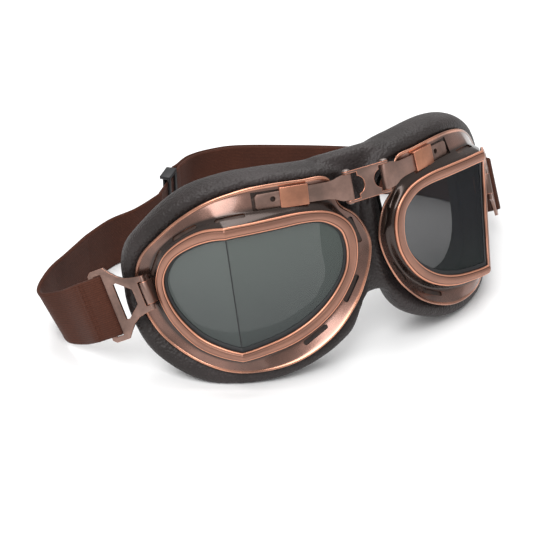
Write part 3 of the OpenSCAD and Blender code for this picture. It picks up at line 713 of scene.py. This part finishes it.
@dataclass
class Cup:
    """One cup: the shell with its slots, the bezel, the gasket and the panes."""

    side: Side
    stance: Stance
    curves: CupCurves
    finishes: dict
    sheet: float = 0.8
    bead: float = 0.8
    slot_length: float = 13.0
    slot_width: float = 2.2
    slot_spots: tuple = ((2, 0.18), (25, 0.36), (37, 0.52), (45, 0.5), (79, 0.13), (86, 0.15))
    slot_spread: float = 0.04
    lip_show: float = 0.85
    lip_spare: float = 0.75
    lip_from: float = -4.0
    lip_over: float = 18.0
    band_shares: tuple = (0.05, 0.64)
    band_depths: tuple = (0.1, 0.24)
    joint_ends: tuple = (-25.4, 24.9)
    fold_station: int = 14
    pocket_room: tuple = ((30.5, 1.25, -4.1), (44.0, 1.6, 4.1))
    arm_room: tuple = ((0.0, -8.0, -3.75), (42.5, 1.15, 3.75))
    sleeve_room: tuple = ((18.2, -0.75, -4.35), (30.4, 1.75, 4.35))

    @property
    def body(self) -> str:
        """The body the cup's pieces ride on."""
        return "cup_" + self.side.tag

    def wear(self, obj: Piece, finish: str, slot: str, *nodes: str) -> Piece:
        """Dress one of the cup's pieces."""
        dress(obj, [self.finishes[finish]], self.body, nodes)
        return obj

    def shell(self) -> Piece:
        """The pressed shell, with its slots and its cuts for the sleeve and the arm."""
        ring, s, b = self.curves.ring, self.sheet, self.bead
        foot = self.curves.foot_share
        rings = [ring(0, 0, 0), ring(foot * 0.5, 0, 0), ring(foot * 0.93, 0, 0), ring(foot * 1.25, 0, 0),
                 ring(0.66, 0, 0), ring(0.92, 0, 0), ring(0.955, 0, -0.15), ring(1, -b * 0.1, -b * 0.7),
                 ring(1, -b * 0.8, -b * 0.4), ring(1, -b, 0.1), ring(1, -b * 0.5, s * 0.9),
                 ring(0.92, 0, s), ring(0.6, 0, s), ring(foot, s * 0.8, s), ring(foot * 0.5, s, s * 0.4),
                 ring(0, s, 0)]
        obj = skin("shell_" + self.side.tag, rings, self.stance.cup(self.side))
        subdivided(obj, 1)
        cut_away(obj, self.slot_cutter(), *self.path_cutters())
        smooth(obj, 42)
        return self.wear(obj, "cup", "cup_copper", "cup_shell_" + self.side.tag)

    def slot_cutter(self) -> Piece:
        """Round-ended bars through the six slots, as one mesh."""
        parts = []
        per = self.curves.steps / 4
        for step, share in self.slot_spots:
            i = round(step * per)
            loop = self.curves.ring(share, 0, 0)
            n = len(loop)
            along = (loop[(i + 3) % n] - loop[(i - 3) % n]).normalized()
            outer = self.curves.ring(share + self.slot_spread, 0, 0)[i]
            over = outer - self.curves.ring(share - self.slot_spread, 0, 0)[i]
            deep = along.cross(over).normalized()
            turn = Matrix((along, deep.cross(along), deep)).transposed().to_4x4()
            deselect()
            bpy.ops.mesh.primitive_cube_add(size=1)
            bar = bpy.context.object
            bar.data.transform(Matrix.Diagonal((self.slot_length, self.slot_width, 6 * self.sheet, 1)))
            weights = bar.data.attributes.new("bevel_weight_edge", "FLOAT", "EDGE")
            for edge in bar.data.edges:
                a, b = (bar.data.vertices[v].co for v in edge.vertices)
                weights.data[edge.index].value = 1.0 if abs(a.z - b.z) > 1e-6 else 0.0
            modify(bar, "BEVEL", width=self.slot_width * 0.48, segments=6, limit_method="WEIGHT")
            bar.data.transform(self.stance.cup(self.side) @ Matrix.Translation(loop[i]) @ turn)
            parts.append(bar)
        pick(*parts)
        bpy.ops.object.join()
        outward(parts[0])
        return parts[0]

    def path_cutters(self) -> list[Piece]:
        """Blocks where the sleeve sits in the sheet and where the arm passes through it."""
        place = self.stance.arm(self.side)
        return [block("path", low, high, place) for low, high in (self.arm_room, self.sleeve_room)]

    def bezel(self) -> Piece:
        """The crowned ring round the panes."""
        profile = ((0, 1), (1, 1), (1.02, 0.62), (1, 0.32), (0.93, 0.16), (0.86, 0.2), (0.8, 0.02),
                   (0.62, -0.14), (0.36, -0.14), (0.2, 0.0), (0.14, 0.16), (0.06, 0.12), (-0.02, 0.3),
                   (-0.02, 0.62))
        c = self.curves
        rings = [[c.fold(a.lerp(b, q), w * c.bezel_height) for a, b in zip(c.bezel, c.glass)]
                 for q, w in profile]
        half = len(c.bezel) * self.fold_station // len(BEZEL_POINTS)
        obj = skin("bezel_" + self.side.tag, rings, self.stance.cup(self.side), (0, half), 0.75)
        subdivided(obj, 2)
        smooth(obj, 60)
        return self.wear(obj, "bezel", "bezel_copper", "lens_bezel_" + self.side.tag)

    def backing(self) -> Piece:
        """The dark band behind the slots, just behind the sheet."""
        ring, s, foot = self.curves.ring, self.sheet, self.curves.foot_share
        start, stop = self.band_shares

        def layer(d: float) -> list:
            return [ring(start, s + d, s * 0.3 + d), ring(foot * 0.5, s + d, s * 0.4 + d),
                    ring(foot, s * 0.8, s + d), ring(stop, 0, s + d)]

        near, far = self.band_depths
        rings = layer(near) + layer(far)[::-1]
        obj = skin("slot_band_" + self.side.tag, rings, self.stance.cup(self.side))
        cut_away(obj, *self.path_cutters())
        smooth(obj, 60)
        return self.wear(obj, "band", "lining_cloth")

    def pocket(self) -> Piece:
        """The thin keeper plate behind the arm's free end."""
        obj = block("arm_pocket_" + self.side.tag, *self.pocket_room, self.stance.arm(self.side))
        rounded_edges(obj, 0.0001)
        return self.wear(obj, "band", "cup_copper")

    def gasket_lip(self) -> Piece:
        """The rubber that shows inside the bezel, wider towards the bottom of the panes."""
        c = self.curves

        def inset(p: Vector, more: float) -> float:
            t = max(0.0, min(1.0, (self.lip_from - p.y) / self.lip_over))
            return self.lip_show + more + self.lip_spare * t * t * (3 - 2 * t)

        def loop(more: float, w: float) -> list[Vector]:
            moved = []
            for i, p in enumerate(c.glass):
                t = (c.glass[(i + 1) % len(c.glass)] - c.glass[i - 1]).normalized()
                moved.append(c.fold(p - inset(p, more) * Vector((t.y, -t.x)), w))
            return moved

        def outer(w: float) -> list[Vector]:
            return [c.fold(p, w) for p in c.grown(c.glass, 0.5)]

        rings = [outer(1.7), loop(-0.1, 1.95), loop(0.08, 2.2), loop(0.1, 2.49), outer(2.49)]
        obj = skin("gasket_lip_" + self.side.tag, rings, self.stance.cup(self.side))
        smooth(obj, 50)
        return self.wear(obj, "rubber", "black_rubber")

    def pane_joint(self) -> Piece:
        """The black strip in the joint of the two panes."""
        section = ((-0.26, 2.58), (0.0, 2.5), (0.26, 2.58), (0.24, 2.72), (0.09, 2.74), (0.09, 4.6),
                   (-0.09, 4.6), (-0.09, 2.74), (-0.24, 2.72))
        place = self.stance.cup(self.side) @ turned(0, 0, self.curves.fold_angle / 2)
        points = [place @ Vector((x, y, z)) for z in self.joint_ends for x, y in section]
        obj = mesh_object("pane_joint_" + self.side.tag, points, tube_faces(len(section), 2, False))
        outward(obj)
        smooth(obj, 50)
        return self.wear(obj, "rubber", "black_rubber")

    def glazing(self) -> None:
        """The gasket and the two panes keep their solids."""
        tag = self.side.tag
        add_material(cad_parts["lens_gasket_" + tag], self.finishes["rubber"])
        add_material(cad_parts["lens_front_" + tag], self.finishes["pane_" + tag])
        add_material(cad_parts["lens_side_" + tag], self.finishes["side_pane_" + tag])

    def build(self) -> None:
        """Build and dress the cup."""
        for piece in (self.shell, self.bezel, self.backing, self.pocket, self.gasket_lip, self.pane_joint):
            piece()
        self.glazing()


@dataclass
class Hardware:
    """Stamped and rolled parts: polished copies of their solids, with rounded edges, most of which carry a
    painted highlight.
    """

    finishes: dict
    edge: float = 0.00022
    buckle_edge: float = 0.0003
    slider_edge: float = 0.0004

    def polished(self, node: str, finish: str, body: str, width: float,
                 bright: bool = True) -> None:
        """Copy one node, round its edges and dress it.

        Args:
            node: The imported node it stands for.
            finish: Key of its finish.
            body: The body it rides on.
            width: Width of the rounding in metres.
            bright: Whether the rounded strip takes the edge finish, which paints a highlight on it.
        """
        obj = node_copy(node, node + "_part")
        # the second material paints a highlight on the rounded strip
        add_material(obj, self.finishes[finish], self.finishes["edge"])
        rounded_edges(obj, width, 2, 1 if bright else -1)
        dress(obj, (), body, [node])

    def build(self) -> None:
        """Polish every rigid part outside the cups."""
        self.polished("bridge_link", "plate", "bridge", self.edge)
        for side in Side:
            tag = side.tag
            self.polished("bridge_arm_" + tag, "plate", "arm_" + tag, self.edge)
            self.polished("hinge_pin_" + tag, "pin", "bridge", self.edge, False)
            self.polished("bridge_sleeve_" + tag, "sleeve", "cup_" + tag, self.edge)
            self.polished("strap_lug_" + tag, "plate", "cup_" + tag, self.edge)
            self.polished("strap_buckle_" + tag, "plate", "buckle_" + tag,
                          self.buckle_edge)
        self.polished("strap_slider", "plastic", "slider", self.slider_edge, False)


@dataclass
class Leather:
    """The padded leather: two cushions and the nose, remeshed as one skin and cut in three."""

    finishes: dict
    voxel: float = 0.0011
    nose_half: float = 0.0078
    nose_spread: float = 2.8
    nose_width: float = 0.0165
    nose_reach: float = 0.022
    past_all: float = 0.2

    def one_skin(self) -> Piece:
        """Both cushions and the saddle joined into one smooth closed skin."""
        left = node_copy("face_cushion_left", "leather")
        right = node_copy("face_cushion_right", "leather_right")
        nose = node_copy("nose_leather", "leather_nose")
        for v in nose.data.vertices:
            v.co.x = math.copysign(min(abs(v.co.x) * self.nose_spread, self.nose_width), v.co.x)
        pick(left, right, nose)
        bpy.ops.object.join()
        modify(left, "REMESH", mode="VOXEL", voxel_size=self.voxel)
        over_nose = left.vertex_groups.new(name="over_nose")
        for v in left.data.vertices:
            share = max(0.0, 1 - abs(v.co.x) / self.nose_reach)
            if share > 0:
                over_nose.add([v.index], min(1.0, 2 * share), "REPLACE")
        modify(left, "SMOOTH", factor=0.5, iterations=14)
        modify(left, "SMOOTH", factor=0.5, iterations=30, vertex_group=over_nose.name)
        return left

    def part(self, whole: Piece, name: str, low: float, high: float) -> Piece:
        """The part of the skin between two planes across X, closed at its cuts."""
        obj = link(name, whole.data.copy())
        pick(obj)
        bpy.ops.object.mode_set(mode="EDIT")
        for x, inner in ((low, True), (high, False)):
            bpy.ops.mesh.select_all(action="SELECT")
            bpy.ops.mesh.bisect(plane_co=(x, 0, 0), plane_no=(1, 0, 0), use_fill=True, clear_inner=inner,
                                clear_outer=not inner)
        bpy.ops.object.mode_set(mode="OBJECT")
        smooth(obj, 60)
        return obj

    def build(self) -> None:
        """Build the three pieces of leather and the linings."""
        whole = self.one_skin()
        half, wide = self.nose_half, self.past_all
        parts = {"cushion_right_leather": (-wide, -half, "face_cushion_right", "cup_right"),
                 "cushion_left_leather": (half, wide, "face_cushion_left", "cup_left"),
                 "nose_saddle": (-half, half, "nose_leather", "bridge")}
        for name, (low, high, node, body) in parts.items():
            obj = self.part(whole, name, low, high)
            dress(obj, [self.finishes["leather"]], body, [node])
        bpy.data.objects.remove(whole)
        for side in Side:
            obj = node_copy("face_lining_" + side.tag, "lining_" + side.tag)
            subdivided(obj, 1)
            smooth(obj, 60)
            dress(obj, [self.finishes["lining"]], "cup_" + side.tag,
                  ["face_lining_" + side.tag])


@dataclass
class Strap:
    """The elastic strap: two sewn ends, two sides and the stretch behind the head with its slider."""

    stance: Stance
    finishes: dict
    width: float = 27.0
    thick: float = 1.6
    pitch: float = 1.9
    loop_end: float = 31.2
    slider_at: tuple = (-29.3, 128.5)
    slider_turn: float = 43.8
    slider_floor: float = 2.1
    straight: float = 13.5
    sewn_off: float = 0.45
    layer_less: float = 0.6
    returned: float = 2.9
    bar_at: float = 21.6
    buckle_length: float = 24.0
    slot_reach: float = 3.5
    stitch_rows: tuple = (27.6, 29.4)
    stitch_count: int = 11
    stitch_margin: float = 1.6
    side_route: tuple = ((116.8, 52, 7.3, 0.23, 0.52), (120, 61.5, 3, 0.32, 0.43),
                         (119.6, 68.5, 1.5, 0.3, 0.33), (115.9, 76.5, 0.7, 0.15, 0.15),
                         (110.4, 84, 0.2, 0.05, 0.05), (103.4, 91, 0, 0, 0), (88, 101.8, 0, 0, 0))
    back_route: tuple = ((88, 101.8, 0), (72, 114, 0), (51, 128.5, 0), (23, 145.5, 0), (8, 149.5, 0.1),
                         (-6, 148.2, 0.6))
    tail_route: tuple = ((-56, 112.8, 0.3), (-72, 109.8, 0), (-88, 101.8, 0))

    def station(self, q: Sequence[float]) -> tuple[Vector, Vector]:
        """A place on the route: the strap's middle and the direction across it."""
        w = Vector((q[3], q[4], 1) if len(q) > 3 else (0, 0, 1)).normalized()
        return Vector((q[0], q[1] - self.stance.depth_centre, q[2] + self.width / 2 * w.z)), w

    def by_slider(self, x: float) -> tuple[Vector, Vector]:
        """A station x millimetres along the strap from the slider's middle."""
        a = math.radians(self.slider_turn)
        ahead, over = self.slider_at[0] + x * math.cos(a), self.slider_at[1] + x * math.sin(a)
        return self.station((ahead, over, self.slider_floor))

    def section(self, route: Sequence, t: float, off: float, thick: float) -> list[Vector]:
        """A cross-section of the strap, rounded at its two edges and slightly fuller there."""
        mids, ups = [r[0] for r in route], [r[1] for r in route]
        low, high = max(t - 0.05, 0), min(t + 0.05, len(route) - 1)
        w = on_spline(ups, t).normalized()
        n = (on_spline(mids, high) - on_spline(mids, low)).cross(w).normalized()
        c = on_spline(mids, t) + off * n
        a, b = self.width / 2, thick / 2
        flat = [(-a, 0), (-a + 0.18, 0.62), (-a + 0.6, 1), (-a + 1.6, 1.02), (-a + 2.4, 0.9),
                (-a * 0.5, 0.92), (0, 0.92), (a * 0.5, 0.92), (a - 2.4, 0.9), (a - 1.6, 1.02),
                (a - 0.6, 1), (a - 0.18, 0.62)]
        upper = [(u, v * b) for u, v in flat]
        lower = [(-u, -v) for u, v in upper]
        return [c + u * w + v * n for u, v in upper + lower]

    def ribbon(self, name: str, sections: Sequence[Sequence[Vector]]) -> Piece:
        """A ribbon over cross-sections, with a UV map in millimetres: U along it and V across it."""
        n = len(sections[0])
        obj = mesh_object(name, [p * MM for s in sections for p in s], tube_faces(n, len(sections), False))
        run = lengths([s[0] for s in sections])
        over = [(p - sections[0][0]).length for p in sections[0]]
        lay_uv(obj, n, lambda j, i: (run[j], over[i]))
        outward(obj)
        smooth(obj, 50)
        return obj

    def run(self, name: str, route: Sequence, offs: Sequence[float], start: float, end: float,
            thick: Optional[float] = None, steps: int = 10) -> Piece:
        """One layer of strap along a route.

        Args:
            name: Name of the piece.
            route: Stations.
            offs: Offset of the layer at each station, outwards.
            start: First station.
            end: Last station.
            thick: Thickness, if not the strap's own.
            steps: Cross-sections per station.

        Returns:
            The ribbon.
        """
        count = max(2, math.ceil((end - start) * steps))
        levels = [Vector((o, 0, 0)) for o in offs]
        return self.ribbon(name, [self.section(route, t, on_spline(levels, t).x, thick or self.thick)
                                  for t in (start + (end - start) * k / count for k in range(count + 1))])

    def joined(self, name: str, *parts: Piece) -> Piece:
        """Several ribbons as one piece."""
        if len(parts) > 1:
            pick(*parts)
            bpy.ops.object.join()
        parts[0].name = name
        return parts[0]

    def side(self, side: Side) -> None:
        """One side of the strap, from inside the sewn end to the join with the back."""
        hinge = self.stance.hinge(Side.LEFT)
        starts = [(hinge @ Vector((x, 0, 0)) / MM, (hinge.to_3x3() @ Vector((0, 0, 1))).normalized())
                  for x in (self.loop_end - 5.5, self.loop_end + 0.3)]
        route = starts + [self.station(q) for q in self.side_route]
        last = len(route) - 1
        half = self.pitch / 2
        if side is Side.LEFT:
            thick = self.thick - self.layer_less
            layers = [self.run(name, route, [sign * self.sewn_off] + [sign * half] * last, 0, last, thick)
                      for name, sign in (("inner", -1), ("outer", 1))]
            obj = self.joined("strap_side_left_band", *layers)
        else:
            offs = [0, 0, 0] + [half] * 4 + [0] * (last - 6)
            obj = self.run("strap_side_right_band", route, offs, 0, last)
            obj.data.transform(Matrix.Diagonal((-1, 1, 1, 1)))
            outward(obj)
        dress(obj, [self.finishes["elastic"]], nodes=["strap_side_" + side.tag])
        near, far = route[1][0] * MM, route[-1][0] * MM
        for p in (near, far):
            p.x *= side.value
        tuple(far)
        tuple(near)
        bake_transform(obj)

    def end(self, side: Side) -> None:
        """The loop sewn round the buckle's bar, drawn in the hinge's frame."""
        bar, length, t, tip = self.bar_at, self.buckle_length, self.thick, self.loop_end
        slot = bar - self.slot_reach
        upper = ((slot, 0.4), (slot + 0.25, 1.2), (slot + 0.9, 1.9), (bar - 1.2, 2.35), (length + 0.4, 2.3),
                 (length + 2.2, t + 0.1), (length + 3.4, t), (tip - 1.3, t - 0.05), (tip - 0.1, t - 0.7))
        outer = [(x, -y) for x, y in upper] + list(upper[::-1])
        half = self.width / 2
        place = self.stance.hinge(side)
        rise = (-half, -half + 0.25, -half + 0.9, -half + 2, -4.5)
        spans = rise + tuple(-z for z in rise[::-1])
        n = len(outer)
        points = []
        for k, z in enumerate(spans):
            pull = (0.55, 0.8, 1.0)[min(k, len(spans) - 1 - k, 2)]
            points += [place @ Vector((x, y * pull, z)) for x, y in outer]
        obj = mesh_object("strap_end_" + side.tag + "_loop", points, tube_faces(n, len(spans), False))
        run = lengths(outer)
        lay_uv(obj, n, lambda j, i: (run[i], spans[j] + half))
        seam = {i for i, (x, _) in enumerate(outer) if x > tip - 1.5} - {len(upper) + 1}
        for k, face in enumerate(obj.data.polygons):
            if k < (len(spans) - 1) * n and k % n in seam:
                face.material_index = 1
        outward(obj)
        smooth(obj, 55)
        self.stitches(obj, side)
        dress(obj, [self.finishes["elastic"], self.finishes["thread"]],
              nodes=["strap_end_" + side.tag])
        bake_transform(obj)

    def stitches(self, obj: Piece, side: Side) -> None:
        """Two rows of thread across the sewn end, on both faces, joined to it."""
        place = self.stance.hinge(side)
        materials = self.finishes["elastic"], self.finishes["thread"]
        margin, gaps = self.stitch_margin, self.stitch_count - 1
        beads = []
        for x, y, k in itertools.product(self.stitch_rows, (-1, 1), range(self.stitch_count)):
            z = -self.width / 2 + margin + k * (self.width - 2 * margin) / gaps
            deselect()
            bpy.ops.mesh.primitive_uv_sphere_add(segments=6, ring_count=4, radius=1)
            bead = bpy.context.object
            bead.data.transform(place @ Matrix.Translation((x, y * (self.thick + 0.02), z))
                                @ Matrix.Diagonal((0.17, 0.16, 0.95, 1)))
            add_material(bead, *materials)
            for face in bead.data.polygons:
                face.material_index = 1
            beads.append(bead)
        add_material(obj, *materials)
        pick(obj, *beads)
        bpy.ops.object.join()

    def back(self) -> None:
        """Both layers behind the head, the outer one ending at the slider's middle bar."""
        route = [self.station(q) for q in self.back_route]
        s = self.straight
        route += [self.by_slider(x) for x in (s + 3, s, 0, -s, -s - 3)]
        route += [self.station(q) for q in self.tail_route]
        at_bar, last = len(self.back_route) + 2, len(route) - 1
        half = self.pitch / 2
        inner = self.run("inner", route, [-half] + [0] * last, 0, last)
        over = [half] + [self.pitch] * (at_bar - 2) + [self.returned] * (last - at_bar + 2)
        outer = self.run("outer", route, over, 0, at_bar - 0.13)
        obj = self.joined("strap_back_band", inner, outer)
        dress(obj, [self.finishes["elastic"]], "bridge", ["strap_back"])

    def build(self) -> None:
        """Build the whole strap."""
        for side in Side:
            self.side(side)
            self.end(side)
        self.back()


@dataclass
class Studio:
    """Pale floor, plain soft light and the photograph's camera."""

    sensor: float = 36.0
    lens: float = 77.67
    spot: tuple = (-0.2585, -0.4151, 0.3110)
    right: tuple = (0.8561, -0.5169, 0.0003)
    up: tuple = (0.2776, 0.4603, 0.8432)
    panels: tuple = (("key", (-0.5, -0.35, 0.95), 0.7, 9.0), ("top", (0.25, 0.35, 1.0), 0.8, 7.0))

    def camera(self) -> None:
        """Set the camera at the photograph's viewing angle."""
        data = bpy.data.cameras.new("camera")
        data.lens = self.lens
        data.sensor_width = self.sensor
        data.clip_start = 0.01
        obj = link("camera", data)
        x = Vector(self.right).normalized()
        y = (Vector(self.up) - Vector(self.up).dot(x) * x).normalized()
        turn = Matrix((x, y, x.cross(y))).transposed().to_4x4()
        obj.matrix_world = Matrix.Translation(self.spot) @ turn
        bpy.context.scene.camera = obj

    def floor(self) -> None:
        """A pale floor that shows white and keeps the shadow."""
        deselect()
        bpy.ops.mesh.primitive_plane_add(size=6)
        obj = bpy.context.object
        obj.name = "floor"
        obj.data.transform(Matrix.Translation((0, 0, -0.0001)))
        bench = Bench("floor_white")
        add_material(obj, bench.finish(Base_Color=(0.93, 0.93, 0.93), Roughness=0.45))

    def light(self) -> None:
        """Soft panels above and beside the goggles, and a pale room."""
        world = bpy.data.worlds.new("room")
        bpy.context.scene.world = world
        world.use_nodes = True
        nodes, links = world.node_tree.nodes, world.node_tree.links
        ground, seen = nodes["Background"], nodes.new("ShaderNodeBackground")
        for sky, strength in ((ground, 0.62), (seen, 1.0)):
            sky.inputs["Color"].default_value = (1, 1, 1, 1)
            sky.inputs["Strength"].default_value = strength
        rays = nodes.new("ShaderNodeLightPath")
        mixer = nodes.new("ShaderNodeMixShader")
        links.new(rays.outputs["Is Camera Ray"], mixer.inputs[0])
        links.new(ground.outputs[0], mixer.inputs[1])
        links.new(seen.outputs[0], mixer.inputs[2])
        links.new(mixer.outputs[0], nodes["World Output"].inputs["Surface"])
        for name, spot, size, power in self.panels:
            data = bpy.data.lights.new(name, "AREA")
            data.size = size
            data.energy = power
            lamp = link(name, data)
            lamp.location = spot
            lamp.rotation_euler = (-Vector(spot)).to_track_quat("-Z", "Y").to_euler()
        bpy.context.scene.view_settings.view_transform = "Standard"

    def build(self) -> None:
        """Set up the studio."""
        self.camera()
        self.floor()
        self.light()


def finishes() -> dict:
    """Every material of the goggles, by its key."""
    # top and bottom colours of the painted reflection on the near and the far panes
    near = ((0.070, 0.088, 0.078), (0.030, 0.038, 0.038))
    far = ((0.002, 0.003, 0.006), (0.004, 0.010, 0.009))
    recipes = {
        "cup": CupFinish(),
        "bezel": BezelFinish(),
        "plate": CopperFinish("bridge_copper", (0.36, 0.225, 0.185), (0.18, 0.12, 0.10), 0.42),
        "sleeve": CopperFinish("sleeve_copper", (0.60, 0.27, 0.165), (0.34, 0.16, 0.105), 0.34, 0.42),
        # painted highlight on the rounded edges of the hardware
        "edge": CopperFinish("edge_highlight_copper", (0.80, 0.33, 0.21), (0.45, 0.20, 0.135), 0.28, 0.4),
        "pin": PlainFinish("pin_steel", (0.20, 0.16, 0.145), (0.36, 0.31, 0.29), 0.4, 500, 0.00002, 0.85),
        "rubber": PlainFinish("black_rubber", (0.008, 0.008, 0.009), (0.018, 0.018, 0.019), 0.6),
        "plastic": PlainFinish("slider_plastic", (0.004, 0.004, 0.005), (0.010, 0.010, 0.011), 0.5, 900,
                               0.00003),
        "lining": PlainFinish("lining_cloth", (0.010, 0.009, 0.008), (0.028, 0.024, 0.022), 0.9, 1500,
                              0.0002),
        "band": PlainFinish("slot_brown", (0.022, 0.012, 0.009), (0.075, 0.042, 0.030), 0.5, 260, 0.00006),
        "thread": PlainFinish("strap_thread", (0.014, 0.006, 0.004), (0.040, 0.016, 0.010), 0.8, 3000),
        "leather": LeatherFinish(),
        "elastic": ElasticFinish(),
        "pane_right": SmokedGlass("smoked_glass_right", *near, 0.02, 0.075, 0.5, 0.82),
        "side_pane_right": SmokedGlass("smoked_side_right", *near, 0.01, 0.085, 0.5, 0.82),
        "pane_left": SmokedGlass("smoked_glass_left", *far, 0.018, 0.045, 0.2, 0.66),
        "side_pane_left": SmokedGlass("smoked_side_left", *far, 0.018, 0.045, 0.2, 0.66),
    }
    return {key: recipe.material() for key, recipe in recipes.items()}


def main() -> None:
    """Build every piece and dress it."""
    logging.basicConfig(level=logging.INFO, format="%(message)s")
    stance, curves, looks = Stance(), CupCurves(), finishes()
    for side in Side:
        Cup(side, stance, curves, looks).build()
    Hardware(looks).build()
    Leather(looks).build()
    Strap(stance, looks).build()
    Studio().build()


if __name__ == "__main__":
    main()
